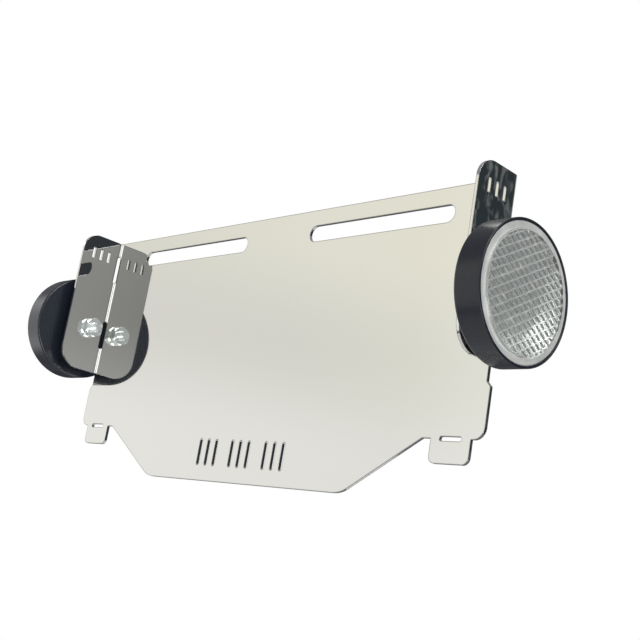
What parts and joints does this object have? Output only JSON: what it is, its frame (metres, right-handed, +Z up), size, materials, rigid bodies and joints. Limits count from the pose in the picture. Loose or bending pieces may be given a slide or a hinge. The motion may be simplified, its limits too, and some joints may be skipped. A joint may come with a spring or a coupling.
{
  "type": "license plate holder with light",
  "caption": "Motorcycle license plate holder: a folded polished steel sheet with slotted top edge, bottom tabs and a round fluted lamp outside each ear.",
  "frame": {"origin": "midway between the two top slots, on the rear face of the sheet", "axes": "+X to the right as seen from the front, along the row of top slots; +Y rearward, out of the sheet's rear face; +Z up"},
  "size_m": [0.3194, 0.057, 0.133],
  "materials": {
    "polished_sheet": "polished",
    "black_shell": "satin",
    "clear_lens": "clear",
    "seal_rubber": "matte",
    "pale_silicone": "matte",
    "bright_bowl": "polished",
    "white_board": "matte",
    "chip": "satin",
    "resistor_black": "matte",
    "zinc": "bright zinc"
  },
  "bodies": {
    "root": {"plate_holder": "polished_sheet", "right_housing": "black_shell", "right_lens": "clear_lens", "right_lens_seal": "pale_silicone", "right_reflector": "bright_bowl", "right_led_board": "white_board", "right_leds": "chip", "right_stud": "zinc", "right_mount_pad": "seal_rubber", "left_housing": "black_shell", "left_lens": "clear_lens", "left_lens_seal": "pale_silicone", "left_reflector": "bright_bowl", "left_led_board": "white_board", "left_leds": "chip", "left_stud": "zinc", "left_mount_pad": "seal_rubber", "resistors": "resistor_black", "board_screws": "zinc", "washers": "zinc", "nuts": "zinc"}
  },
  "joints": []
}
